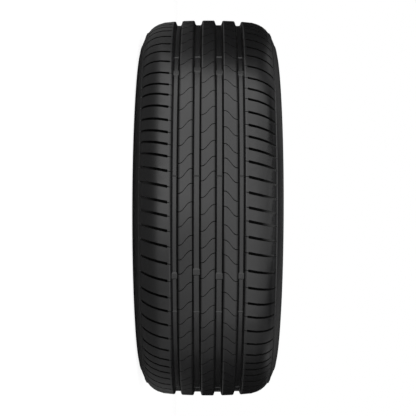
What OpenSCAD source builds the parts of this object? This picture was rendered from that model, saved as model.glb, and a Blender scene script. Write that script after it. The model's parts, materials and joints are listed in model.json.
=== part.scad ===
// Road tyre, moulded in one piece: four grooves, five ribs, sipes and shoulder slots.
// It lies on its sidewall, with the axle line up the Z axis and its origin at the middle.

/* [Size] */
// Diameter over the middle of the tread
outer_d = 634; // [610:1:660]
// Width across the two sidewalls at their widest
section_w = 226; // [222:1:236]
// Bore of the two bead seats
bead_d = 436; // [426:1:444]
// Distance between the outer faces of the two beads
bead_w = 190; // [180:1:196]

/* [Tread profile] */
// Radius of the crown, seen in section
crown_r = 900; // [600:10:1400]
// Width of the crown between the two edge curves
crown_w = 126; // [122:1:130]
// Radius of the curve that rounds each edge of the tread
edge_r = 64; // [56:1:74]
// Slope at which the edge curve runs into the shoulder
edge_angle = 22; // [19:1:25]
// Radius of the shoulder
shoulder_r = 37; // [32:1:42]
// Slope at which the shoulder runs into the sidewall
shoulder_angle = 56; // [52:1:60]

/* [Casing] */
// Rubber, belts and plies at the middle of the tread
crown_t = 13; // [11:0.5:16]
// Wall where the tyre is widest
sidewall_t = 7.5; // [5:0.5:10]
// Width of a bead from its heel to its toe
bead_t = 19.5; // [16:0.5:23]
// Width of the flat part of the inner liner under the tread
liner_w = 142; // [134:1:148]
// Radius of the liner inside the shoulder
liner_r = 31; // [26:1:35]
// Length of the cylindrical land on which a bead sits
seat_land = 9; // [6:0.5:11]
// Radius of the heel of a bead
heel_r = 6.5; // [4:0.5:8]
// Height of the rim flange that the bead leans on
flange_h = 17.5; // [15:0.5:19]
// Radius of the hollow that the rim flange fills
flange_r = 9.5; // [7:0.5:11]

/* [Sidewall] */
// Height of the rib that guards the rim, above the bead seat
guard_rise = 26; // [24:0.5:28]
// Width of the nose of that rib
guard_w = 5; // [3:0.5:7]
// Depth of the hollow between the rib and the widest part
guard_dip = 1.6; // [0.5:0.1:2.5]
// Height of the widest part above the middle of the rib
widest_rise = 8; // [6:0.5:14]
// Least width and least height of the curve between a shoulder and the widest part
bulge_w = 10; // [6:0.5:13]
bulge_h = 6; // [4:0.5:10]
// Height of the two ring ribs on each sidewall
ring_h = 0.7; // [0.4:0.1:1.2]
// Width of a ring rib
ring_w = 1.6; // [1:0.1:3]
// Height of the ridge under each shoulder
ridge_h = 1.1; // [0.6:0.1:2]
// Width of the ridge under each shoulder
ridge_w = 4; // [3:0.1:6]

/* [Grooves] */
// Distance of the two inner grooves from the middle
inner_groove_z = 16.6; // [16:0.1:18]
// Distance of the two outer grooves from the middle
outer_groove_z = 48.7; // [47:0.1:50]
// Depth of the grooves
groove_depth = 7.6; // [6:0.1:8.5]
// Width of the floor of an inner groove
inner_floor_w = 8.8; // [7:0.1:10]
// Width of an inner groove at its top
inner_top_w = 13.2; // [12:0.1:14.5]
// Width of the floor of an outer groove
outer_floor_w = 6.8; // [5:0.1:8]
// Width of an outer groove at its top
outer_top_w = 11.6; // [10:0.1:13]
// Size of the sloping corner between the floor and a wall of a groove
floor_corner = 1.6; // [0.5:0.1:2]
// Width of the bevel along each edge of a rib
bevel_w = 1.8; // [0.5:0.1:2.2]
// Depth of that bevel
bevel_h = 0.7; // [0.2:0.1:1]
// Height of the wear bars above the groove floors
wear_bar_h = 1.6; // [1:0.1:2.5]
// Length of a wear bar along its groove
wear_bar_l = 8; // [5:0.5:12]
// Number of wear bars round each groove
wear_bars = 6; // [4:1:8]

/* [Sipes] */
// Width of the thin cuts across the ribs
sipe_w = 0.8; // [0.6:0.1:1.2]
// Depth of those cuts
sipe_depth = 5.8; // [3:0.1:6.5]
// Run of a cut round the tyre, from one side of a rib to the other
sipe_rise = 14.6; // [8:0.1:18]
// Length of the flat end of a cut, at each edge of its rib
sipe_flat = 4.2; // [2:0.1:6]

/* [Shoulder slots] */
// Distance of the inner end of a slot from the middle
slot_start = 58.4; // [57:0.1:60]
// Distance of the outer end of a slot from the middle
slot_end = 98.8; // [95:0.2:99]
// Width of a slot at its inner end
slot_w = 3.4; // [2.4:0.1:4]
// Width of a slot at its outer end
slot_end_w = 1.5; // [1:0.1:2.2]
// Depth of a slot under the flat of the tread
slot_depth = 6.2; // [4:0.1:7]
// Depth of a slot at its outer end
slot_end_depth = 1.6; // [0.8:0.1:2.5]
// Lean of the slots against the axle line
slot_lean = 12; // [6:1:16]

/* [Pitch] */
// Short pitch against the medium one
short_pitch = 0.82; // [0.75:0.01:0.9]
// Long pitch against the medium one
long_pitch = 1.176; // [1.1:0.01:1.25]

/* [Hidden] */
$fn = 96;

// Order of the short, medium and long pitches of the shoulders, and of the three middle ribs
shoulder_order = str("MLLMSMMSSSMMMSMMLLLMLLLMSSMLLLMMLMSMMLLMLLML",
    "MSSMLLMLMSSMMLLLMLMMMSSLLMSMMLLMLLLMSMLL");
rib_order = str("LLLMLMMSSMSMSSMLMMMMLLMSMLLLMMLMMSML",
    "LMLMSMLLLMMSSLMLLMSSMLLLLMSMLLMSMLLM");
// Angles at which the two orders start, seen from the side that faces the front
shoulder_start = -52.87;
rib_start = -50.32;
// Share of its pitch at which each slot lies, in the lower and in the upper shoulder
lower_share = 0.75;
upper_share = 0.25;
// Angles by which those slots stand off their shares
lower_slot_shift = 0.14;
upper_slot_shift = -0.44;
// Angles by which the sipes of the middle and the upper rib run ahead of the lower rib
middle_shift = -1.3;
upper_shift = -2.83;
// Angle of the first wear bar, and how far the bars of one groove stand off the others
wear_start = 18.7;
wear_shift = -1.2;
// Turn that brings angle zero to the front of the tyre
front = -90;

outer_r = outer_d / 2;
half_w = section_w / 2;
seat_r = bead_d / 2;
heel_z = bead_w / 2;
toe_z = heel_z - bead_t;
guard_r = seat_r + guard_rise;
over = 3;
embed = 1;

function polar(r, a) = r * [cos(a), sin(a)];
// Points on an arc of a section that starts at p, where its normal leans by a0, and runs to a1
function arc_centre(p, r, a0) = p - polar(r, a0);
function arc_points(c, r, a0, a1, n) = [for (i = [1 : n]) c + polar(r, a0 + (a1 - a0) * i / n)];
// Points on a cubic curve between a and d, without its first point
function curve_points(a, b, c, d, n) = [
    for (i = [1 : n])
        let (t = i / n, s = 1 - t)
            s * s * s * a + 3 * s * s * t * b + 3 * s * t * t * c + t * t * t * d
];
function flipped(points) = [for (i = [len(points) - 1 : -1 : 0]) [points[i].x, -points[i].y]];

// Radius of the crown arc at distance z from the middle
function crown_at(z) = outer_r - crown_r + sqrt(crown_r * crown_r - z * z);

// Points on a curve that leaves p at slope a and reaches q at slope b, without its first point
lead = 0.32;
function bend(p, a, q, b, t) =
    let (h = lead * abs(p.x - q.x), s = 1 - t, u = p + h * [-1, 1 / tan(a)], v = q + h * [1, -1 / tan(b)])
        s * s * s * p + 3 * s * s * t * u + 3 * s * t * t * v + t * t * t * q;

// Section of the tyre: the outside, from the middle of the tread to the widest point
crown_end = crown_w / 2;
crown_angle = asin(crown_end / crown_r);
crown_line = [for (z = [inner_groove_z, outer_groove_z]) [crown_at(z), z]];
crown_edge = [crown_at(crown_end), crown_end];
widest = [guard_r + widest_rise, half_w];
// The two curves at the edge of the tread are as large as their radii, or as the casing leaves room for
edge_reach = edge_r * (polar(1, edge_angle) - polar(1, crown_angle))
    + shoulder_r * (polar(1, shoulder_angle) - polar(1, edge_angle));
edge_fit = min(1, (half_w - bulge_w - crown_end) / edge_reach.y,
    (crown_edge.x - widest.x - bulge_h) / -edge_reach.x);
edge_c = arc_centre(crown_edge, edge_r * edge_fit, crown_angle);
edge_steps = 2;
edge_line = arc_points(edge_c, edge_r * edge_fit, crown_angle, edge_angle, edge_steps);
edge_foot = edge_line[edge_steps - 1];
shoulder_steps = 3;
shoulder_c = arc_centre(edge_foot, shoulder_r * edge_fit, edge_angle);
shoulder_line = arc_points(shoulder_c, shoulder_r * edge_fit, edge_angle, shoulder_angle, shoulder_steps);
shoulder_foot = shoulder_line[shoulder_steps - 1];

// The sidewall from the shoulder (at 0) to the widest point (at 1), and the ribs that stand up from it
side_l = norm(widest - shoulder_foot);
function side_at(t, h) =
    let (d = bend(shoulder_foot, shoulder_angle, widest, 90, t + 0.01)
            - bend(shoulder_foot, shoulder_angle, widest, 90, t - 0.01))
        bend(shoulder_foot, shoulder_angle, widest, 90, t) + h * [d.y, -d.x] / norm(d);
function raised(t, w, h) =
    let (foot = min(h, w / 3))
        [for (p = [[0, 0], [foot, h], [w - foot, h], [w, 0]]) side_at(t + p.x / side_l, p.y)];
ridge_t = embed / side_l;
ring_t = 0.5 - ring_w / side_l;
side_steps = 5;
side_line = concat(
    raised(ridge_t, ridge_w, ridge_h),
    [for (i = [1 : side_steps - 1]) side_at(ridge_t + ridge_w / side_l
        + (ring_t - ridge_t - ridge_w / side_l) * i / side_steps, 0)],
    raised(ring_t, ring_w, ring_h),
    [for (i = [1 : side_steps - 1]) side_at(0.5 + 0.5 * i / side_steps, 0)]
);

// The outside from the widest point over the rim guard to the flange, the heel and the toe
flange_c = [seat_r + flange_h - flange_r, heel_z + flange_r];
flange_turn = 75;
flange_line = [for (a = [flange_turn : -15 : 0]) flange_c + flange_r * [sin(a), -cos(a)]];
hollow = [guard_r + guard_w / 2 + embed, half_w - guard_dip];
guard_line = concat(
    [widest],
    curve_points(widest, widest - [(widest.x - hollow.x) / 3, 0],
        hollow + [(widest.x - hollow.x) / 2, 0], hollow, 3),
    [
        [guard_r + guard_w / 2 - 0.4, half_w - 0.5],
        [guard_r + guard_w / 2 - 1.4, half_w],
        [guard_r - guard_w / 2 + 1, half_w],
        [guard_r - guard_w / 2, half_w - 1]
    ]
);
heel_c = [seat_r + heel_r, heel_z - heel_r];
heel_line = [for (a = [0 : 18 : 90]) heel_c + heel_r * [-sin(a), cos(a)]];
toe_line = [
    [seat_r, heel_z - heel_r - seat_land],
    [seat_r - 0.8, toe_z + 0.9],
    [seat_r, toe_z]
];

// The inside, from the toe up the bead and the sidewall to the liner under the tread
liner_end = liner_w / 2;
liner_angle = asin(liner_end / (crown_r - crown_t));
liner_edge = [crown_at(liner_end) - crown_t, liner_end];
inner_wall_z = half_w - sidewall_t;
inner_turn = 72;
bead_top = [seat_r + flange_h - 2, toe_z + 4];
bead_slope = 113;
// The curve of the liner is as large as its radius, or as the walls leave room for
liner_reach = liner_r * (polar(1, inner_turn) - polar(1, liner_angle));
liner_fit = min(1, (inner_wall_z - liner_end) / (liner_reach.y + sidewall_t / 2),
    (liner_edge.x - bead_top.x) / (sidewall_t - liner_reach.x));
liner_c = arc_centre(liner_edge, liner_r * liner_fit, liner_angle);
inner_shoulder = liner_c + polar(liner_r * liner_fit, inner_turn);
inner_wall = [(bead_top.x + inner_shoulder.x) / 2, inner_wall_z];
inner_steps = 7;
inner_line = concat(
    [bead_top],
    [for (i = [inner_steps - 1 : -1 : 0]) bend(inner_wall, 90, bead_top, bead_slope, i / inner_steps)],
    [for (i = [inner_steps - 1 : -1 : 1]) bend(inner_shoulder, inner_turn, inner_wall, 90, i / inner_steps)],
    [for (i = [0 : 7]) liner_c + polar(liner_r * liner_fit, inner_turn + (liner_angle - inner_turn) * i / 7)],
    [for (z = [liner_end * 0.7, liner_end * 0.3]) [crown_at(z) - crown_t, z]]
);

half_section = concat(crown_line, edge_line, shoulder_line, side_line, guard_line, flange_line,
    heel_line, toe_line, inner_line);

module casing() {
    rotate_extrude() polygon(concat(half_section, flipped(half_section)));
}

// Radius of the ribs at distance z: straight across each rib, from groove to groove
function tread_at(z) = lookup(abs(z), [for (p = concat(crown_line, [edge_line[0]])) [p.y, p.x]]);

// Section of a groove round the tyre, with its middle at z
module groove_section(z, floor_w, top_w) {
    bottom = crown_at(z) - groove_depth;
    slope = (top_w - floor_w) / 2 / (groove_depth - bevel_h);
    half = [
        [bottom, floor_w / 2 - floor_corner / 2],
        [bottom + floor_corner, floor_w / 2 + floor_corner * slope]
    ];
    polygon(concat(
        [for (p = half) [p.x, z + p.y]],
        [for (side = [1, -1])
            let (foot = z + side * top_w / 2, lip = foot + side * bevel_w)
                each side > 0
                    ? [[tread_at(foot) - bevel_h, foot], [tread_at(lip), lip],
                        [tread_at(lip) + bevel_h / 2, lip + bevel_w / 2],
                        [tread_at(lip) + over, lip + bevel_w / 2]]
                    : [[tread_at(lip) + over, lip - bevel_w / 2],
                        [tread_at(lip) + bevel_h / 2, lip - bevel_w / 2],
                        [tread_at(lip), lip], [tread_at(foot) - bevel_h, foot]]],
        [for (i = [1, 0]) [half[i].x, z - half[i].y]]
    ));
}

// A wear bar: a low block with sloping ends that crosses a groove at angle a
module wear_bar(a, z, floor_w, top_w) {
    foot = wear_bar_l / 2 + wear_bar_h;
    rotate(front + a) translate([crown_at(z) - groove_depth, 0, z - (floor_w + top_w) / 4])
        linear_extrude(height = (floor_w + top_w) / 2)
            polygon([
                [-embed, -foot],
                [0, -foot],
                [wear_bar_h, -wear_bar_l / 2],
                [wear_bar_h, wear_bar_l / 2],
                [0, foot],
                [-embed, foot]
            ]);
}

module groove(z, floor_w, top_w, shift) {
    difference() {
        rotate_extrude() groove_section(z, floor_w, top_w);
        for (i = [0 : wear_bars - 1])
            wear_bar(wear_start + shift + i * 360 / wear_bars, z, floor_w, top_w);
    }
}

// Lengths of the pitches of an order, and the angle at which each of them starts
function pitch(letter) = letter == "S" ? short_pitch : letter == "L" ? long_pitch : 1;
function lengths(order) = [for (letter = order) pitch(letter)];
function sum(v) = v * [for (x = v) 1];
function starts(v) = [for (i = 0, a = 0; i < len(v); a = a + v[i], i = i + 1) a];
// Angles of the cuts of an order that starts at a0, each at its share of its own pitch
function cut_angles(order, a0, share) =
    let (v = lengths(order), s = starts(v), turn = 360 / sum(v))
        [for (i = [0 : len(v) - 1]) a0 + (s[i] + share * v[i]) * turn];

// A thin cut across a rib, from z0 to z1: flat at its ends and leaning between them
module sipe(a, z0, z1, rise) {
    line = [
        [z0 - over, -rise / 2],
        [z0 + sipe_flat, -rise / 2],
        [z1 - sipe_flat, rise / 2],
        [z1 + over, rise / 2]
    ];
    n = len(line);
    thick = [
        for (i = [0 : n - 1])
            let (d = line[min(i + 1, n - 1)] - line[max(i - 1, 0)])
                sipe_w / 2 * norm(d) / abs(d.x)
    ];
    rotate(front + a) translate([crown_at(z0) - sipe_depth, 0, 0]) rotate([0, 90, 0])
        linear_extrude(height = sipe_depth + over)
            polygon(concat(
                [for (i = [0 : n - 1]) [-line[i].x, line[i].y - thick[i]]],
                [for (i = [n - 1 : -1 : 0]) [-line[i].x, line[i].y + thick[i]]]
            ));
}

// A slot in a shoulder, with the thin cut that joins it to the outer groove
module slot_outline(side) {
    lean = tan(slot_lean);
    neck = outer_groove_z + outer_top_w / 2 - embed;
    edge = [
        [neck, sipe_w / 2],
        [slot_start, sipe_w / 2],
        [slot_start + 0.6, slot_w / 2],
        [slot_end, slot_end_w / 2]
    ];
    n = len(edge);
    function mid(z) = side * (z - slot_start) * lean;
    polygon(concat(
        [for (p = edge) [-side * p.x, mid(p.x) + p.y]],
        [for (i = [n - 1 : -1 : 0]) [-side * edge[i].x, mid(edge[i].x) - edge[i].y]]
    ));
}

module slot(a, side) {
    rotate(front + a) translate([shoulder_c.x, 0, 0]) rotate([0, 90, 0])
        linear_extrude(height = outer_r - shoulder_c.x + over) slot_outline(side);
}

// Everything outside the floor of the slots on one side
module slot_depth_ring(side) {
    floor_line = [
        [crown_at(outer_groove_z) - slot_depth, outer_groove_z],
        edge_line[0] - polar(slot_depth, edge_angle / 2),
        shoulder_foot - polar(slot_end_depth, shoulder_angle),
        shoulder_foot + polar(over, shoulder_angle) + [0, over]
    ];
    rotate_extrude()
        polygon([for (p = concat(floor_line, [[outer_r + 2 * over, half_w], [outer_r + 2 * over, outer_groove_z]]))
            [p.x, side * p.y]]);
}

module shoulder_slots(side, share, shift) {
    intersection() {
        slot_depth_ring(side);
        for (a = cut_angles(shoulder_order, shoulder_start + shift, share)) slot(a, side);
    }
}

module rib_sipes() {
    lower_rib = [-outer_groove_z + outer_top_w / 2, -inner_groove_z - inner_top_w / 2];
    middle = inner_groove_z - inner_top_w / 2;
    for (a = cut_angles(rib_order, rib_start, 0)) {
        sipe(a, lower_rib[0], lower_rib[1], -sipe_rise);
        sipe(a + upper_shift, -lower_rib[1], -lower_rib[0], sipe_rise);
    }
    for (a = cut_angles(rib_order, rib_start, 0.5)) sipe(a + middle_shift, -middle, middle, -sipe_rise);
}

module grooved_casing() {
    difference() {
        casing();
        for (side = [-1, 1]) {
            groove(side * inner_groove_z, inner_floor_w, inner_top_w, side < 0 ? wear_shift : 0);
            groove(side * outer_groove_z, outer_floor_w, outer_top_w, 0);
        }
    }
}

module tyre() {
    color([0.09, 0.09, 0.1])
        difference() {
            grooved_casing();
            rib_sipes();
            shoulder_slots(-1, lower_share, lower_slot_shift);
            shoulder_slots(1, upper_share, upper_slot_shift);
        }
}

tyre();
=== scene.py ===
import json
import math

import bmesh
import bpy
from mathutils import Matrix, Vector

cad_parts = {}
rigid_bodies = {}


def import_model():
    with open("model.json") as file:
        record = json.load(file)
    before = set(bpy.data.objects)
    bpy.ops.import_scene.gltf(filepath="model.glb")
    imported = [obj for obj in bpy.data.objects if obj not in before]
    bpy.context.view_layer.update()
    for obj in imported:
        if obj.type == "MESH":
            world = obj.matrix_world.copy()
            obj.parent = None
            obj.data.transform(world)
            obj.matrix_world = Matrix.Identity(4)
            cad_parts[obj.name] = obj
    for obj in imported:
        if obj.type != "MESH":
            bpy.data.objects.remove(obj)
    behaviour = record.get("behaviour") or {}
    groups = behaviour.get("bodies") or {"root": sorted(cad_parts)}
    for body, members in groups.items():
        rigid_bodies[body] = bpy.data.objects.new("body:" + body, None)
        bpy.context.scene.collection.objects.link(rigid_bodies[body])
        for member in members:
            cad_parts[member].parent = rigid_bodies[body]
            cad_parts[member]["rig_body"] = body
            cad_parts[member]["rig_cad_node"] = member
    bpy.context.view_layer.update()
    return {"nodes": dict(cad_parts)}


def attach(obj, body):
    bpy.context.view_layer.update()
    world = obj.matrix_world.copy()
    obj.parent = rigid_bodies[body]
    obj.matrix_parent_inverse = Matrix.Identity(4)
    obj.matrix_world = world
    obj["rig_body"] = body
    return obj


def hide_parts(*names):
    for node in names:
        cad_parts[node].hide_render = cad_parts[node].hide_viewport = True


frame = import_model()
mm = 0.001

# The tyre lies on its sidewall: the axle line is Z, and -Y is the side that faces the camera.
# All the forms are in mm and degrees. A distance from the middle is one along the axle line.
tyreForm = {
    "crownRadius": 317.0,      # over the middle of the tread
    "crownArc": 900.0,         # curve of the tread from side to side
    "innerGroove": 16.6,       # distance of the grooves from the middle
    "outerGroove": 48.7,
    "grooveDepth": 7.6,
    "shoulderLine": [          # distance from the middle, radius
        (58.4, 314.7), (73.0, 313.3), (77.7, 311.8), (82.5, 310.3),
        (87.4, 307.7), (91.8, 304.6), (95.7, 301.0), (99.3, 296.7),
    ],
    "smoothAngle": 16,         # sharper edges than this stay crisp
    "turnedTilt": 0.09,        # a face that leans along the turn by less was turned, not cut
    "mergeGap": 0.002,
}


def toObjectMode():
    if bpy.context.object and bpy.context.object.mode != "OBJECT":
        bpy.ops.object.mode_set(mode="OBJECT")


def deselectAll():
    toObjectMode()
    bpy.ops.object.select_all(action="DESELECT")


def pick(piece):
    # the only selected object, and the active one
    deselectAll()
    piece.select_set(True)
    bpy.context.view_layer.objects.active = piece
    return piece


def applyPlace(piece):
    pick(piece)
    bpy.ops.object.transform_apply(location=True, rotation=True, scale=True)
    return piece


def joinAll(pieces, name):
    deselectAll()
    for piece in pieces:
        piece.select_set(True)
    bpy.context.view_layer.objects.active = pieces[0]
    if len(pieces) > 1:
        bpy.ops.object.join()
    joined = bpy.context.object
    joined.name = name
    joined.data.name = name
    return joined


def smoothPiece(piece, angle):
    pick(piece)
    bpy.ops.object.shade_smooth_by_angle(angle=math.radians(angle))


def finishPiece(piece, material):
    piece.data.materials.clear()
    piece.data.materials.append(material)
    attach(piece, "root")
    return piece


def crownAt(z):
    # radius of the tread at z from the middle
    arc = tyreForm["crownArc"]
    return tyreForm["crownRadius"] - arc + math.sqrt(arc * arc - z * z)


# Shader node groups

def newGroup(name, inputs, outputs):
    group = bpy.data.node_groups.new(name, "ShaderNodeTree")
    for socketName, socketType, value in inputs:
        socket = group.interface.new_socket(
            name=socketName, in_out="INPUT", socket_type=socketType)
        socket.default_value = value
    for socketName, socketType in outputs:
        group.interface.new_socket(name=socketName, in_out="OUTPUT", socket_type=socketType)
    return group, group.nodes.new("NodeGroupInput"), group.nodes.new("NodeGroupOutput")


def addNode(tree, kind, **settings):
    node = tree.nodes.new(kind)
    for key, value in settings.items():
        setattr(node, key, value)
    return node


def mathNode(tree, operation, first, second=None, clamp=False):
    node = addNode(tree, "ShaderNodeMath", operation=operation, use_clamp=clamp)
    for index, value in enumerate((first, second)):
        if value is None:
            continue
        if isinstance(value, (int, float)):
            node.inputs[index].default_value = value
        else:
            tree.links.new(value, node.inputs[index])
    return node.outputs[0]


def noiseNode(tree, vector, scale, detail, roughness):
    node = addNode(tree, "ShaderNodeTexNoise")
    for name, value in (("Scale", scale), ("Detail", detail), ("Roughness", roughness)):
        if isinstance(value, (int, float)):
            node.inputs[name].default_value = value
        else:
            tree.links.new(value, node.inputs[name])
    tree.links.new(vector, node.inputs["Vector"])
    return node.outputs["Fac"]


def axleDistance(tree, parts):
    # distance from the axle line, from separated coordinates
    squares = mathNode(
        tree, "ADD",
        mathNode(tree, "MULTIPLY", parts.outputs["X"], parts.outputs["X"]),
        mathNode(tree, "MULTIPLY", parts.outputs["Y"], parts.outputs["Y"]),
    )
    return mathNode(tree, "SQRT", squares)


def spread(tree, value, low, high):
    # runs from 0 to 1 while the value goes from low to high
    node = addNode(tree, "ShaderNodeMapRange")
    node.inputs["From Min"].default_value = low
    node.inputs["From Max"].default_value = high
    tree.links.new(value, node.inputs["Value"])
    return node.outputs["Result"]


# The skin that a mould leaves on rubber: a slow mottle, and a fine grain that catches the light
skinForm = {
    "mottle": (22.0, 4.0, 0.55),     # scale, detail and roughness of the noise
    "mottleSpan": (0.32, 0.68),
    "mottleShare": 0.6,
    "clouds": (6.0, 2.0, 0.5),
    "cloudSpan": (0.3, 0.7),
    "grain": (2.0, 0.6),             # detail and roughness; the scale is the material's
}


def makeMouldedSkin():
    form = skinForm
    group, start, end = newGroup(
        "mouldedSkin",
        [("Vector", "NodeSocketVector", (0, 0, 0)),
         ("Dark", "NodeSocketColor", (0.02, 0.02, 0.021, 1)),
         ("Light", "NodeSocketColor", (0.03, 0.03, 0.031, 1)),
         ("Grain Scale", "NodeSocketFloat", 1500.0),
         ("Smooth", "NodeSocketFloat", 0.35),
         ("Dull", "NodeSocketFloat", 0.45)],
        [("Color", "NodeSocketColor"),
         ("Roughness", "NodeSocketFloat"),
         ("Height", "NodeSocketFloat")],
    )
    vector = start.outputs["Vector"]
    mottle = spread(group, noiseNode(group, vector, *form["mottle"]), *form["mottleSpan"])
    clouds = spread(group, noiseNode(group, vector, *form["clouds"]), *form["cloudSpan"])
    grain = noiseNode(group, vector, start.outputs["Grain Scale"], *form["grain"])
    tone = mathNode(
        group, "ADD",
        mathNode(group, "MULTIPLY", mottle, form["mottleShare"]),
        mathNode(group, "MULTIPLY", clouds, 1 - form["mottleShare"]),
    )
    colour = addNode(group, "ShaderNodeMix", data_type="RGBA")
    group.links.new(tone, colour.inputs["Factor"])
    group.links.new(start.outputs["Dark"], colour.inputs[6])
    group.links.new(start.outputs["Light"], colour.inputs[7])
    rough = addNode(group, "ShaderNodeMix", data_type="FLOAT")
    group.links.new(clouds, rough.inputs["Factor"])
    group.links.new(start.outputs["Smooth"], rough.inputs[2])
    group.links.new(start.outputs["Dull"], rough.inputs[3])
    group.links.new(colour.outputs[2], end.inputs["Color"])
    group.links.new(rough.outputs[0], end.inputs["Roughness"])
    group.links.new(grain, end.inputs["Height"])
    return group


def makeTurnedLines():
    # fine rings that the lathe left in the mould's side plates
    group, start, end = newGroup(
        "turnedLines",
        [("Vector", "NodeSocketVector", (0, 0, 0)), ("Pitch", "NodeSocketFloat", 0.0012)],
        [("Height", "NodeSocketFloat")],
    )
    parts = addNode(group, "ShaderNodeSeparateXYZ")
    group.links.new(start.outputs["Vector"], parts.inputs[0])
    turns = mathNode(group, "DIVIDE", axleDistance(group, parts), start.outputs["Pitch"])
    wave = mathNode(group, "SINE", mathNode(group, "MULTIPLY", turns, 2 * math.pi))
    group.links.new(mathNode(group, "MULTIPLY", wave, 0.5), end.inputs["Height"])
    return group


# Slanting lines that the curing bladder presses into the inner liner
bladderForm = {
    "lines": 180.0,            # waves round the tyre
    "slant": 320.0,            # radians that a line turns on a metre of its way up
    "heightShare": 0.6,
    "sharpness": 0.5,
}


def makeBladderLines():
    group, start, end = newGroup(
        "bladderLines",
        [("Vector", "NodeSocketVector", (0, 0, 0)),
         ("Lines", "NodeSocketFloat", bladderForm["lines"]),
         ("Slant", "NodeSocketFloat", bladderForm["slant"])],
        [("Height", "NodeSocketFloat")],
    )
    parts = addNode(group, "ShaderNodeSeparateXYZ")
    group.links.new(start.outputs["Vector"], parts.inputs[0])
    angle = mathNode(group, "ARCTAN2", parts.outputs["Y"], parts.outputs["X"])
    # radius and height together keep the slant under the tread and on the walls
    path = mathNode(
        group, "ADD",
        axleDistance(group, parts),
        mathNode(group, "MULTIPLY", parts.outputs["Z"], bladderForm["heightShare"]),
    )
    phase = mathNode(
        group, "ADD",
        mathNode(group, "MULTIPLY", angle, start.outputs["Lines"]),
        mathNode(group, "MULTIPLY", path, start.outputs["Slant"]),
    )
    wave = mathNode(group, "SINE", phase)
    line = mathNode(group, "POWER", mathNode(group, "ABSOLUTE", wave), bladderForm["sharpness"])
    group.links.new(line, end.inputs["Height"])
    return group


mouldedSkin = makeMouldedSkin()
turnedLines = makeTurnedLines()
bladderLines = makeBladderLines()


def rubberMaterial(name, dark, light, smooth, dull, grainScale, grainDepth, specular=0.5):
    material = bpy.data.materials.new(name)
    material.use_nodes = True
    tree = material.node_tree
    shader = tree.nodes["Principled BSDF"]
    coordinates = addNode(tree, "ShaderNodeTexCoord")
    skin = addNode(tree, "ShaderNodeGroup", node_tree=mouldedSkin)
    tree.links.new(coordinates.outputs["Object"], skin.inputs["Vector"])
    skin.inputs["Dark"].default_value = (*dark, 1)
    skin.inputs["Light"].default_value = (*light, 1)
    skin.inputs["Grain Scale"].default_value = grainScale
    skin.inputs["Smooth"].default_value = smooth
    skin.inputs["Dull"].default_value = dull
    bump = addNode(tree, "ShaderNodeBump")
    bump.inputs["Distance"].default_value = grainDepth * mm
    bump.inputs["Strength"].default_value = 1.0
    tree.links.new(skin.outputs["Height"], bump.inputs["Height"])
    tree.links.new(bump.outputs["Normal"], shader.inputs["Normal"])
    tree.links.new(skin.outputs["Color"], shader.inputs["Base Color"])
    tree.links.new(skin.outputs["Roughness"], shader.inputs["Roughness"])
    shader.inputs["Specular IOR Level"].default_value = specular
    return material, coordinates, bump


def addRelief(material, coordinates, bump, group, depth, **values):
    # a second bump ahead of the grain
    tree = material.node_tree
    lines = addNode(tree, "ShaderNodeGroup", node_tree=group)
    tree.links.new(coordinates.outputs["Object"], lines.inputs["Vector"])
    for name, value in values.items():
        lines.inputs[name].default_value = value
    relief = addNode(tree, "ShaderNodeBump")
    relief.inputs["Distance"].default_value = depth * mm
    relief.inputs["Strength"].default_value = 1.0
    tree.links.new(lines.outputs["Height"], relief.inputs["Height"])
    tree.links.new(relief.outputs["Normal"], bump.inputs["Normal"])


# Painted shade: the faces of the cuts and slots take a darker colour and a duller finish than the
# tread's rubber, but towards the ends of the slots they take on the tread's gloss
slotGloss = {
    "from": 78.0,              # distance from the middle
    "to": 90.0,
    "roughness": 0.3,
}


def clearSlotEnds(material, coordinates):
    tree = material.node_tree
    shader = tree.nodes["Principled BSDF"]
    parts = addNode(tree, "ShaderNodeSeparateXYZ")
    tree.links.new(coordinates.outputs["Object"], parts.inputs[0])
    height = mathNode(tree, "ABSOLUTE", parts.outputs["Z"])
    gloss = spread(tree, height, slotGloss["from"] * mm, slotGloss["to"] * mm)
    tree.links.new(gloss, shader.inputs["Coat Weight"])
    shader.inputs["Coat Roughness"].default_value = slotGloss["roughness"]


treadRubber = rubberMaterial(
    "treadRubber", dark=(0.009, 0.009, 0.0094), light=(0.013, 0.013, 0.0134),
    smooth=0.27, dull=0.32, grainScale=1800.0, grainDepth=0.03)[0]
grooveRubber = rubberMaterial(
    "grooveRubber", dark=(0.009, 0.009, 0.0094), light=(0.013, 0.013, 0.0134),
    smooth=0.27, dull=0.32, grainScale=1500.0, grainDepth=0.03)[0]
# painted shade in the cuts: the tread's rubber, given a darker colour and less gloss
paintedShadeCutRubber, cutPlace, cutBump = rubberMaterial(
    "paintedShadeCutRubber", dark=(0.003, 0.003, 0.003), light=(0.005, 0.005, 0.005),
    smooth=0.75, dull=0.85, grainScale=1500.0, grainDepth=0.03, specular=0.12)
clearSlotEnds(paintedShadeCutRubber, cutPlace)
sidewallRubber, sidewallPlace, sidewallBump = rubberMaterial(
    "sidewallRubber", dark=(0.012, 0.012, 0.0125), light=(0.016, 0.016, 0.0165),
    smooth=0.36, dull=0.44, grainScale=1400.0, grainDepth=0.04)
addRelief(sidewallRubber, sidewallPlace, sidewallBump, turnedLines, depth=0.02, Pitch=0.0011)
beadRubber, beadPlace, beadBump = rubberMaterial(
    "beadRubber", dark=(0.016, 0.016, 0.017), light=(0.022, 0.022, 0.023),
    smooth=0.45, dull=0.55, grainScale=900.0, grainDepth=0.05)
addRelief(beadRubber, beadPlace, beadBump, turnedLines, depth=0.05, Pitch=0.0016)
linerRubber, linerPlace, linerBump = rubberMaterial(
    "linerRubber", dark=(0.016, 0.016, 0.017), light=(0.030, 0.029, 0.028),
    smooth=0.30, dull=0.52, grainScale=500.0, grainDepth=0.10)
addRelief(linerRubber, linerPlace, linerBump, bladderLines, depth=0.35)
print("materials are ready")


# The tyre itself: the moulded shape, merged, smoothed and dressed by area

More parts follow.
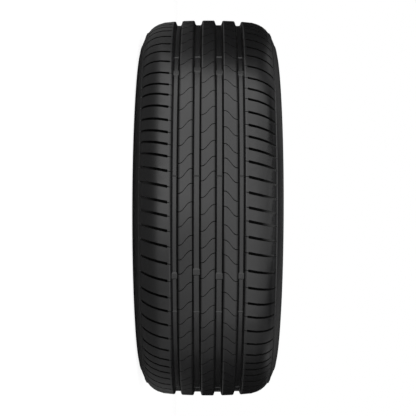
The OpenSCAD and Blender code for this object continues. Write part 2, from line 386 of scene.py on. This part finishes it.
# Where the faces of the cuts and slots lie
cutArea = {
    "spans": [(-12.0, 12.0), (21.5, 44.5), (56.0, 99.0)],     # distance from the middle
    "lip": 1.2,                # least and most depth of a face's middle under the outside
    "floor": 9.0,
}

# Which finish a face takes, by the radius of its middle and its distance from the tyre's middle
finishArea = {
    "seatRadius": 233.0,       # seat and toe of a bead
    "seatHeight": 96.0,
    "linerRadius": 304.0,
    "linerHeight": 70.0,
    "linerFacing": -0.4,       # faces this much towards the axle line are the liner's
    "linerWallRadius": 292.0,
    "linerWallFacing": 0.05,   # and so are these walls, which face the middle
    "grooveHeight": 60.0,      # all the grooves lie within this
    "grooveLip": 0.9,
    "grooveFacing": 0.5,
    "treadRadius": 303.0,
    "shoulderRadius": 296.0,
    "shoulderEdge": 92.0,      # the tread gives way to the buttress here
    "beadRadius": 242.0,
}


def outsideAt(height):
    # radius of the outside, on the tread and down the shoulders
    line = tyreForm["shoulderLine"]
    if height < line[0][0]:
        return crownAt(height)
    for (low, first), (high, last) in zip(line, line[1:]):
        if height <= high:
            return first + (last - first) * (height - low) / (high - low)
    return line[-1][1]


def isCut(face):
    # true for the sides and the floor of the thin cuts and of the shoulder slots
    centre = face.calc_center_median()
    height = abs(centre.z) / mm
    if not any(low < height < high for low, high in cutArea["spans"]):
        return False
    return cutArea["lip"] < outsideAt(height) - centre.xy.length / mm < cutArea["floor"]


def isLiner(radius, height, outward, inward):
    area = finishArea
    wall = radius < area["linerWallRadius"] and inward > area["linerWallFacing"]
    facing = height < area["linerHeight"] or outward < area["linerFacing"] or wall
    return radius < area["linerRadius"] and facing


def finishOf(face):
    area = finishArea
    # the faces of the cuts and slots take the painted shade
    if isCut(face):
        return paintedShadeCutRubber
    centre = face.calc_center_median()
    radius = math.hypot(centre.x, centre.y) / mm
    height = abs(centre.z) / mm
    outward = (centre.x * face.normal.x + centre.y * face.normal.y) / (radius * mm)
    inward = -face.normal.z * math.copysign(1, centre.z)
    if radius < area["seatRadius"] and height < area["seatHeight"]:
        return beadRubber
    if isLiner(radius, height, outward, inward):
        return linerRubber
    if height < area["grooveHeight"]:
        sunk = radius < crownAt(height) - area["grooveLip"]
        if sunk or abs(face.normal.z) > area["grooveFacing"]:
            return grooveRubber
    if radius > area["treadRadius"]:
        return treadRubber
    if radius > area["shoulderRadius"] and height < area["shoulderEdge"]:
        return treadRubber
    return beadRubber if radius < area["beadRadius"] else sidewallRubber


def turnedSlope(face):
    # slope of a turned face in section, in degrees, or None for the walls of cuts
    centre, normal = face.calc_center_median(), face.normal
    radius = math.hypot(centre.x, centre.y)
    along = (centre.x * normal.y - centre.y * normal.x) / radius
    if abs(along) > tyreForm["turnedTilt"]:
        return None
    outward = (centre.x * normal.x + centre.y * normal.y) / radius
    return math.degrees(math.atan2(normal.z, outward))


def trueNormals(tyre):
    # turned faces take the normals of a true turned surface, so that no facet shows in the gloss
    shape = bmesh.new()
    shape.from_mesh(tyre.data)
    slopes = [turnedSlope(face) for face in shape.faces]
    limit = tyreForm["smoothAngle"]
    normals = []
    for face, slope in zip(shape.faces, slopes):
        for loop in face.loops:
            if slope is None:
                normals.append((0.0, 0.0, 0.0))
                continue
            near = {}
            for other in loop.vert.link_faces:
                value = slopes[other.index]
                if value is None:
                    continue
                turn = (value - slope + 180) % 360 - 180
                if abs(turn) < limit:
                    near[round(turn)] = turn
            blended = math.radians(slope + sum(near.values()) / len(near))
            place = loop.vert.co
            radius = math.hypot(place.x, place.y)
            flat = math.cos(blended) / radius
            normals.append((place.x * flat, place.y * flat, math.sin(blended)))
    shape.free()
    tyre.data.normals_split_custom_set(normals)


# The sipes across the three middle ribs: here their bends are rounded and they open a little
sipeForm = {
    "ribs": [                  # low edge, high edge, rise of a sipe between them
        (-42.9, -23.2, -14.6),
        (-10.0, 10.0, -14.6),
        (23.2, 42.9, 14.6),
    ],
    "flat": 4.2,               # straight run at each edge of a rib
    "flatInset": 0.4,
    "depth": 8.0,
    "wallFacing": 0.97,
    "half": 0.4,               # half the width of a sipe, before and after
    "newHalf": 0.55,
    "wallReach": 0.6,          # corners this close to a sipe's middle are its own
    "reach": 3.6,              # a bend is rounded this far to each side
    "steps": 3,                # new corners on each side of a bend
    "fade": 6.0,               # the rubber beside a sipe gives way this far
    "search": 20.0,            # a corner's own sipe is within this
}


def sipeLine(z, rib, rounded):
    # how far a sipe has run round the tyre at z: straight runs, or the same with rounded bends
    low, high, rise = rib
    first, last = low + sipeForm["flat"], high - sipeForm["flat"]
    slope, reach = rise / (last - first), sipeForm["reach"]

    def ramp(place):
        if not rounded or abs(z - place) >= reach:
            return max(z - place, 0)
        return (z - place + reach) ** 2 / (4 * reach)

    return -rise / 2 + slope * (ramp(first) - ramp(last))


def groupAngles(angles, gap):
    # angles with less than the gap, in degrees, from one to the next belong together
    angles = sorted(angles)
    groups = [[angles[0]]]
    for angle in angles[1:]:
        if angle - groups[-1][-1] > math.radians(gap):
            groups.append([])
        groups[-1].append(angle)
    return groups


def sipeAngles(shape, rib):
    # angle of each sipe of a rib, from the two walls of its flat end
    form = sipeForm
    low, rise = rib[0], rib[2]
    found = []
    for face in shape.faces:
        centre = face.calc_center_median()
        z, radius = centre.z / mm, math.hypot(centre.x, centre.y)
        if not low + form["flatInset"] < z < low + form["flat"] - form["flatInset"]:
            continue
        if radius / mm < crownAt(z) - form["depth"]:
            continue
        along = (centre.x * face.normal.y - centre.y * face.normal.x) / radius
        if abs(along) > form["wallFacing"]:
            found.append(math.atan2(centre.y, centre.x) + math.asin(rise / 2 * mm / radius))
    return [(group[0] + group[-1]) / 2 for group in groupAngles(found, 1)]


def cutAtBends(shape, rib):
    # extra corners for the curve on both sides of each bend; returns all the corners of the rib
    form = sipeForm
    low, high = rib[:2]
    region = [
        face for face in shape.faces
        if low - 1 < face.calc_center_median().z / mm < high + 1
        and face.calc_center_median().xy.length / mm > crownAt(high) - form["depth"]
    ]
    corners = {vert for face in region for vert in face.verts}
    edges = {edge for face in region for edge in face.edges}
    geometry = list(corners) + list(edges) + region
    for bend in (low + form["flat"], high - form["flat"]):
        for step in range(-form["steps"], form["steps"] + 1):
            if step == 0:
                continue
            place = (bend + form["reach"] * step / form["steps"]) * mm
            cut = bmesh.ops.bisect_plane(
                shape, geom=geometry, dist=0.001 * mm, plane_co=(0, 0, place), plane_no=(0, 0, 1))
            geometry = cut["geom"]
    return {part for part in geometry if isinstance(part, bmesh.types.BMVert)}


def moveAlong(vert, angle, shift):
    # moves a corner along the turn, at the angle of its cut
    vert.co += Vector((-math.sin(angle), math.cos(angle), 0)) * shift * mm


def roundSipes(tyre):
    shape = bmesh.new()
    shape.from_mesh(tyre.data)
    form = sipeForm
    for rib in form["ribs"]:
        angles = sipeAngles(shape, rib)
        for vert in cutAtBends(shape, rib):
            z = vert.co.z / mm
            straight = sipeLine(z, rib, False)
            bend = sipeLine(z, rib, True) - straight
            turn = math.atan2(vert.co.y, vert.co.x)
            radius = vert.co.xy.length
            gaps = []
            for angle in angles:
                side = radius * math.sin(turn - angle) / mm
                if abs(side) < form["search"] and math.cos(turn - angle) > 0:
                    gaps.append((abs(side - straight), side - straight, angle))
            if not gaps:
                continue
            gap, away, angle = min(gaps)
            shift = bend * max(0, min(1, 1 - (gap - form["wallReach"]) / form["fade"]))
            if gap < form["wallReach"]:
                shift += math.copysign(form["newHalf"] - form["half"], away)
            if abs(shift) > 0.001:
                moveAlong(vert, angle, shift)
    shape.to_mesh(tyre.data)
    shape.free()


# The slots of the shoulders, and the thin cuts that join them to the outer grooves: both are
# opened here, the slots to the width that the photo shows
slotForm = {
    "neck": 46.0,              # distances from the middle: a thin cut lies between here
    "start": 58.4,             # and here
    "open": 59.0,              # full width of the slot
    "end": 98.8,
    "startWidth": 3.4,         # at the open and the end, before and after
    "endWidth": 1.5,
    "newStart": 4.3,
    "newEnd": 3.6,
    "lean": 12.0,
    "leastRadius": 280.0,      # the floors of the slots lie outside this
    "wallDepth": 0.5,
    "wallFacing": 0.9,
    "wallGap": 0.08,           # corners this close to the line of a wall are on it
}


def slotMiddle(z):
    # how far a slot has run round the tyre at z
    form = slotForm
    return math.copysign(1, z) * (abs(z) - form["start"]) * math.tan(math.radians(form["lean"]))


def slotHalf(z, first, last):
    # half the width at z of a slot with these widths at its open and at its end
    form = slotForm
    return (first + (last - first) * (abs(z) - form["open"]) / (form["end"] - form["open"])) / 2


def slotAngles(shape, side):
    # angle of each slot of a shoulder, from its two walls
    form = slotForm
    found = []
    for face in shape.faces:
        centre = face.calc_center_median()
        z, radius = centre.z / mm, centre.xy.length
        if not form["open"] + 1 < side * z < form["end"] - 2:
            continue
        along = (centre.x * face.normal.y - centre.y * face.normal.x) / radius
        if outsideAt(abs(z)) - radius / mm < form["wallDepth"] or abs(along) < form["wallFacing"]:
            continue
        # the normal of a wall points into the slot
        half = slotHalf(z, form["startWidth"], form["endWidth"])
        away = slotMiddle(z) - math.copysign(half, along)
        found.append(math.atan2(centre.y, centre.x) - math.asin(away * mm / radius))
    return [sum(group) / len(group) for group in groupAngles(found, 0.5)]


def openSlots(tyre):
    # returns the side and the angle of each slot
    shape = bmesh.new()
    shape.from_mesh(tyre.data)
    form = slotForm
    ends = []
    for side in (-1, 1):
        angles = slotAngles(shape, side)
        ends += [(side, angle) for angle in angles]
        for vert in shape.verts:
            z, radius = vert.co.z / mm, vert.co.xy.length
            if not form["neck"] < side * z < form["end"] + 0.1:
                continue
            if radius < form["leastRadius"] * mm:
                continue
            turn = math.atan2(vert.co.y, vert.co.x)
            half = slotHalf(z, form["startWidth"], form["endWidth"])
            newHalf = slotHalf(z, form["newStart"], form["newEnd"])
            if side * z < form["open"] - 0.1:
                half, newHalf = sipeForm["half"], sipeForm["newHalf"]
            for angle in angles:
                if math.cos(turn - angle) < 0.99:
                    continue
                away = radius * math.sin(turn - angle) / mm - slotMiddle(z)
                if abs(abs(away) - half) < form["wallGap"]:
                    moveAlong(vert, angle, math.copysign(newHalf - half, away))
                    break
    shape.to_mesh(tyre.data)
    shape.free()
    return ends


def makeTyre():
    pick(frame["nodes"]["tyre"])
    bpy.ops.object.duplicate(linked=False)
    tyre = bpy.context.object
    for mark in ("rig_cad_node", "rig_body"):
        del tyre[mark]
    tyre.parent = None
    tyre.name = "mouldedTyre"
    tyre.data.name = "mouldedTyre"
    pick(tyre)
    bpy.ops.mesh.customdata_custom_splitnormals_clear()
    bpy.ops.object.mode_set(mode="EDIT")
    bpy.ops.mesh.select_all(action="SELECT")
    bpy.ops.mesh.remove_doubles(threshold=tyreForm["mergeGap"] * mm)
    bpy.ops.mesh.select_all(action="DESELECT")
    bpy.ops.object.mode_set(mode="OBJECT")
    ends = openSlots(tyre)
    roundSipes(tyre)
    smoothPiece(tyre, tyreForm["smoothAngle"])
    tyre.data.materials.clear()
    finishes = (treadRubber, grooveRubber, sidewallRubber, beadRubber, linerRubber, paintedShadeCutRubber)
    for material in finishes:
        tyre.data.materials.append(material)
    shape = bmesh.new()
    shape.from_mesh(tyre.data)
    for face in shape.faces:
        face.material_index = finishes.index(finishOf(face))
    shape.to_mesh(tyre.data)
    shape.free()
    trueNormals(tyre)
    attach(tyre, "root")
    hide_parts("tyre")
    return tyre, ends


mouldedTyre, slotEnds = makeTyre()
print("tyre dressed:", len(mouldedTyre.data.polygons), "faces")


# A small bead of rubber where each slot runs out, on the edge below the shoulder
slotBeads = {
    "radius": 295.2,
    "height": 100.7,
    "size": (2.0, 1.8, 1.8),
    "bevel": 0.3,
}


def makeSlotBeads(ends):
    form = slotBeads
    beads = []
    deselectAll()
    bpy.ops.mesh.primitive_cube_add(size=mm, location=(0, 0, 0))
    bead = bpy.context.object
    bead.scale = form["size"]
    applyPlace(bead)
    bpy.ops.object.mode_set(mode="EDIT")
    bpy.ops.mesh.select_all(action="SELECT")
    bpy.ops.mesh.bevel(offset=form["bevel"] * mm, segments=1)
    bpy.ops.mesh.select_all(action="DESELECT")
    bpy.ops.object.mode_set(mode="OBJECT")
    for side, angle in ends:
        away = slotMiddle(side * form["height"])
        pick(bead)
        bpy.ops.object.duplicate(linked=False)
        copy = bpy.context.object
        copy.rotation_euler.z = angle
        copy.location = (
            (form["radius"] * math.cos(angle) - away * math.sin(angle)) * mm,
            (form["radius"] * math.sin(angle) + away * math.cos(angle)) * mm,
            side * form["height"] * mm,
        )
        beads.append(applyPlace(copy))
    deselectAll()
    bpy.data.objects.remove(bead)
    return joinAll(beads, "slotEndBeads")


finishPiece(makeSlotBeads(slotEnds), treadRubber)
print("beads set at the slot ends:", len(slotEnds))


# Thin ridges across the groove floors, where the segments of the mould met: one block, pinched at
# its top, then copied to every joint and groove
jointRidges = {
    "angles": [-48.5, -8.6, 29.8, 70, 112, 152, 191.5, 233, 273],     # 0 faces the camera
    "innerWidth": 9.6,         # across the inner and the outer grooves
    "outerWidth": 7.6,
    "height": 0.9,
    "length": 3.0,
    "sink": 0.3,               # depth of the foot in the floor
    "pinch": 0.15,             # length left at the top
}


def makeJointRidges():
    form = jointRidges
    ridges = []
    for groove in ("inner", "outer"):
        z, width = tyreForm[groove + "Groove"], form[groove + "Width"]
        floor = crownAt(z) - tyreForm["grooveDepth"]
        deselectAll()
        bpy.ops.mesh.primitive_cube_add(size=1, location=(0, 0, 0))
        block = bpy.context.object
        tall = form["height"] + form["sink"]
        block.scale = (tall * mm, form["length"] * mm, width * mm)
        applyPlace(block)
        bpy.ops.object.mode_set(mode="EDIT")
        bpy.ops.mesh.select_all(action="DESELECT")
        bpy.ops.mesh.select_mode(type="FACE")
        mesh = bmesh.from_edit_mesh(block.data)
        for face in mesh.faces:
            face.select = face.normal.x > 0.9
        bmesh.update_edit_mesh(block.data)
        bpy.ops.transform.resize(value=(1, form["pinch"], 1))
        bpy.ops.mesh.select_all(action="DESELECT")
        bpy.ops.object.mode_set(mode="OBJECT")
        block.location = ((floor - form["sink"] + tall / 2) * mm, 0, 0)
        applyPlace(block)
        for side in (-1, 1):
            for angle in form["angles"]:
                pick(block)
                bpy.ops.object.duplicate(linked=False)
                ridge = bpy.context.object
                ridge.location.z = side * z * mm
                ridge.rotation_euler.z = math.radians(angle - 90)
                ridges.append(applyPlace(ridge))
        deselectAll()
        bpy.data.objects.remove(block)
    return joinAll(ridges, "mouldJointRidges")


finishPiece(makeJointRidges(), grooveRubber)
print("mould joints laid in the grooves")


# The ring of fine radial ridges on each sidewall: one ridge follows the wall, then spins round
# the axle line
serration = {
    "innerRadius": 263.6,
    "outerRadius": 273.6,
    "steps": 3,                # along a ridge
    "count": 640,
    "height": 0.42,
    "endShare": 0.25,          # of the height, at both ends of a ridge
    "width": 1.3,
    "sink": 0.25,              # depth of the foot in the wall
    "wall": [(263.5, 112.11), (268.85, 111.15), (274.2, 109.8)],     # radius, height
}


def wallHeight(radius):
    # height of the sidewall's outside between the two ring ribs
    near, middle, far = serration["wall"]
    t = (radius - near[0]) / (far[0] - near[0])
    bow = middle[1] - (near[1] + far[1]) / 2
    return near[1] + (far[1] - near[1]) * t + 4 * bow * t * (1 - t)


def makeSerration(side):
    form = serration
    steps = form["steps"]
    mesh = bpy.data.meshes.new("ridge")
    shape = bmesh.new()
    rows = []
    for index in range(steps + 1):
        radius = form["innerRadius"] + (form["outerRadius"] - form["innerRadius"]) * index / steps
        share = form["endShare"] if index in (0, steps) else 1.0
        base = wallHeight(radius) - form["sink"]
        top = wallHeight(radius) + form["height"] * share
        half = form["width"] / 2
        rows.append([
            shape.verts.new((radius * mm, -half * mm, side * base * mm)),
            shape.verts.new((radius * mm, 0, side * top * mm)),
            shape.verts.new((radius * mm, half * mm, side * base * mm)),
        ])
    for low, high in zip(rows, rows[1:]):
        for a, b in ((0, 1), (1, 2), (2, 0)):
            shape.faces.new((low[a], low[b], high[b], high[a]))
    shape.faces.new(rows[0][::-1])
    shape.faces.new(rows[-1])
    bmesh.ops.recalc_face_normals(shape, faces=shape.faces)
    shape.to_mesh(mesh)
    shape.free()
    ridge = bpy.data.objects.new("ridge", mesh)
    bpy.context.scene.collection.objects.link(ridge)
    pick(ridge)
    bpy.ops.object.mode_set(mode="EDIT")
    bpy.ops.mesh.select_all(action="SELECT")
    bpy.ops.mesh.spin(
        steps=form["count"], dupli=True, angle=2 * math.pi, center=(0, 0, 0), axis=(0, 0, 1))
    bpy.ops.mesh.select_all(action="SELECT")
    bpy.ops.mesh.remove_doubles(threshold=0.001 * mm)
    bpy.ops.mesh.select_all(action="DESELECT")
    bpy.ops.object.mode_set(mode="OBJECT")
    return ridge


serratedRings = joinAll([makeSerration(-1), makeSerration(1)], "serratedRings")
finishPiece(serratedRings, sidewallRubber)
print("serrated rings cut:", len(serratedRings.data.polygons), "faces")


# Studio: a pale floor, a curved wall of soft panels in front of the tyre, and a dim room

studio = {
    "floorHeight": -113.0,     # mm, and all below in m
    "floorSize": 4.4,
    "floorColour": (0.45, 0.45, 0.45),
    "floorRoughness": 0.9,
    "floorGlow": 0.905,        # what the camera sees of it, besides the lamps' light
    "paintedGlossGlow": 1.8,          # painted glow of the floor as gloss sees it, away from the tyre
    "glossNear": 0.34,         # from the axle line: the painted shade of the tyre on the floor ends between these
    "glossFar": 0.46,
    "glossFade": (-0.05, 0.22),       # along X, over which the painted glow fades
    "glossLeft": 0.2,                 # share that is left there
    "glossBack": (-0.35, -0.05),      # along Y, over which it gives way to the dim back
    "roomLevel": 0.006,        # the room for diffuse light, and as gloss sees it
    "glossLevel": 0.004,
}

# The panels stand side by side on an arc. They fade towards +X, the foot of the picture, and
# upwards, its right, and behind the tyre they are dim.
softWall = {
    "distance": 2.5,
    "turn": 25.0,              # degrees that one panel takes
    "levels": [                # angle from the camera, level
        (-70, 2.0), (-45, 1.85), (-20, 1.85), (5, 1.75), (30, 1.65), (55, 1.3), (80, 0.4),
    ],
    "rows": [                  # foot, top, share of the level
        (-0.1, 0.8, 0.96), (0.8, 1.7, 0.68), (1.7, 3.5, 0.55),
    ],
    "rearLevels": [
        (-155, 0.3), (-130, 0.4), (-105, 0.25), (105, 0.25), (130, 0.4), (155, 0.3), (180, 0.2),
    ],
    "rearRow": (1.5, 2.6, 1.0),
}

# One more box, above and in front
topBox = {
    "place": (0.0, -1.3, 3.5),
    "size": (3.0, 1.8),
    "level": 0.9,
}


def seenLevel(tree, camera, gloss):
    # one level for camera and transmission rays, another for glossy rays, and none for the rest
    path = addNode(tree, "ShaderNodeLightPath")
    seen = mathNode(
        tree, "MAXIMUM", path.outputs["Is Camera Ray"], path.outputs["Is Transmission Ray"])
    shown = mathNode(tree, "MULTIPLY", seen, camera)
    mirrored = mathNode(tree, "MULTIPLY", path.outputs["Is Glossy Ray"], gloss)
    return mathNode(tree, "MAXIMUM", shown, mirrored)


def between(tree, value, low, high, first, last):
    # runs smoothly from the first level to the last while the value goes from low to high
    node = addNode(tree, "ShaderNodeMapRange", interpolation_type="SMOOTHSTEP")
    ends = {"From Min": low, "From Max": high, "To Min": first, "To Max": last}
    for name, number in ends.items():
        node.inputs[name].default_value = number
    tree.links.new(value, node.inputs["Value"])
    return node.outputs["Result"]


def paintedFloorGlow(tree):
    # painted glow that gloss sees on the floor: painted shade by the tyre, bright in front, fading
    # along X and to the back
    parts = addNode(tree, "ShaderNodeSeparateXYZ")
    tree.links.new(addNode(tree, "ShaderNodeTexCoord").outputs["Object"], parts.inputs[0])
    radius = axleDistance(tree, parts)
    paintedGlowRing = between(tree, radius, studio["glossNear"], studio["glossFar"], 0.0, studio["paintedGlossGlow"])
    fade = between(tree, parts.outputs["X"], *studio["glossFade"], 1.0, studio["glossLeft"])
    front = between(tree, parts.outputs["Y"], *studio["glossBack"], 1.0, 0.0)
    return mathNode(tree, "MULTIPLY", mathNode(tree, "MULTIPLY", paintedGlowRing, fade), front)


def makeFloor():
    deselectAll()
    bpy.ops.mesh.primitive_plane_add(
        size=studio["floorSize"], location=(0, 0, studio["floorHeight"] * mm))
    floor = bpy.context.object
    floor.name = "studioFloor"
    applyPlace(floor)
    material = bpy.data.materials.new("paleFloor")
    material.use_nodes = True
    tree = material.node_tree
    shader = tree.nodes["Principled BSDF"]
    shader.inputs["Base Color"].default_value = (*studio["floorColour"], 1)
    shader.inputs["Roughness"].default_value = studio["floorRoughness"]
    shader.inputs["Emission Color"].default_value = (1, 1, 1, 1)
    # the camera sees the floor's even glow; gloss sees the painted glow, with its painted shade by
    # the tyre
    glow = seenLevel(tree, studio["floorGlow"], paintedFloorGlow(tree))
    tree.links.new(glow, shader.inputs["Emission Strength"])
    floor.data.materials.append(material)


def makeRoom():
    world = bpy.data.worlds.new("studioRoom")
    bpy.context.scene.world = world
    world.use_nodes = True
    tree = world.node_tree
    tree.nodes.clear()
    output = addNode(tree, "ShaderNodeOutputWorld")
    room = addNode(tree, "ShaderNodeBackground")
    room.inputs["Color"].default_value = (1, 1, 1, 1)
    shown = seenLevel(tree, 1.0, studio["glossLevel"])
    level = mathNode(tree, "MAXIMUM", shown, studio["roomLevel"])
    tree.links.new(level, room.inputs["Strength"])
    tree.links.new(room.outputs[0], output.inputs["Surface"])


def makeTopBox():
    form = topBox
    deselectAll()
    bpy.ops.object.light_add(type="AREA", location=form["place"])
    lamp = bpy.context.object
    lamp.name = "topBox"
    lamp.data.shape = "RECTANGLE"
    lamp.data.size, lamp.data.size_y = form["size"]
    lamp.data.energy = form["level"] * math.pi * form["size"][0] * form["size"][1]


def makePanel(angle, level, foot, top, share):
    # one flat lamp of the wall, facing the axle line
    form = softWall
    width = 2 * form["distance"] * math.tan(math.radians(form["turn"] / 2))
    turn = math.radians(angle)
    place = (form["distance"] * math.sin(turn), -form["distance"] * math.cos(turn), (foot + top) / 2)
    deselectAll()
    bpy.ops.object.light_add(type="AREA", location=place, rotation=(math.radians(90), 0, turn))
    lamp = bpy.context.object
    lamp.name = "softPanel"
    lamp.data.shape = "RECTANGLE"
    lamp.data.size, lamp.data.size_y = width, top - foot
    # watts that give the panel the same brightness at any size
    lamp.data.energy = level * share * math.pi * width * (top - foot)


makeFloor()
makeRoom()
for panelAngle, panelLevel in softWall["levels"]:
    for panelFoot, panelTop, panelShare in softWall["rows"]:
        makePanel(panelAngle, panelLevel, panelFoot, panelTop, panelShare)
for panelAngle, panelLevel in softWall["rearLevels"]:
    makePanel(panelAngle, panelLevel, *softWall["rearRow"])
makeTopBox()
print("studio is lit")


# Camera: level with the middle of the tyre, turned so that the axle line runs across the picture

cameraForm = {
    "distance": 1.965,         # m from the axle line
    "lens": 99.3,
    "sensor": 36.0,
    "roll": 0.0028,            # radians, to match the photo's slight turn
}


def makeCamera():
    bpy.ops.object.camera_add()
    camera = bpy.context.object
    camera.name = "photoCamera"
    camera.data.lens = cameraForm["lens"]
    camera.data.sensor_width = cameraForm["sensor"]
    # columns: the picture's right is +Z, its up is -X, and the camera looks along +Y
    upright = Matrix(((0, -1, 0), (0, 0, -1), (1, 0, 0)))
    turn = upright @ Matrix.Rotation(cameraForm["roll"], 3, "Z")
    camera.matrix_world = Matrix.Translation((0, -cameraForm["distance"], 0)) @ turn.to_4x4()
    bpy.context.scene.camera = camera


makeCamera()
bpy.context.scene.view_settings.view_transform = "Standard"
